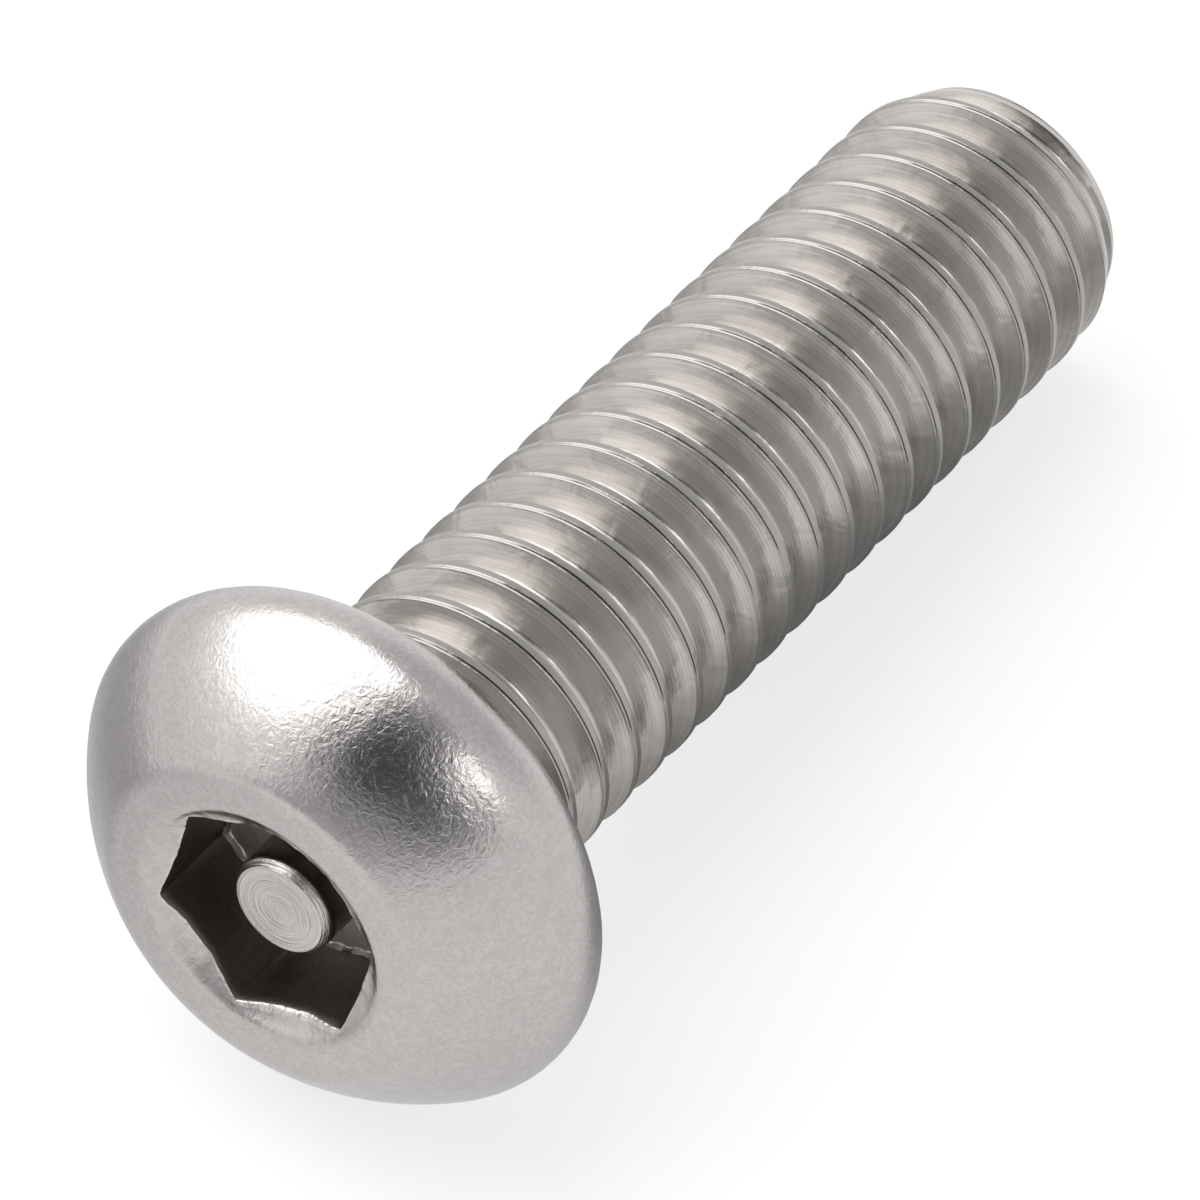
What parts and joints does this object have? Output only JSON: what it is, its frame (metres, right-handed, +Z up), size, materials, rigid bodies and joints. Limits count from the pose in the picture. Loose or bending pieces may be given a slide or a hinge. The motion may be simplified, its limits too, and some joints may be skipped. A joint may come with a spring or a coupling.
{
  "type": "button head screw",
  "caption": "Button head screw with a domed head, a hexagon socket round a small pin, and a full-length machine thread; lies on its head's rim and its point.",
  "frame": {"origin": "on the table, under the middle of the screw's length as it lies", "axes": "+X from the head towards the point, +Z up; the screw's own axis lies in the XZ plane and slopes down to the point by 6.4 degrees"},
  "size_m": [0.0246, 0.0104, 0.0103],
  "materials": {
    "stainless": "satin"
  },
  "bodies": {
    "root": {"screw": "stainless"}
  },
  "joints": []
}
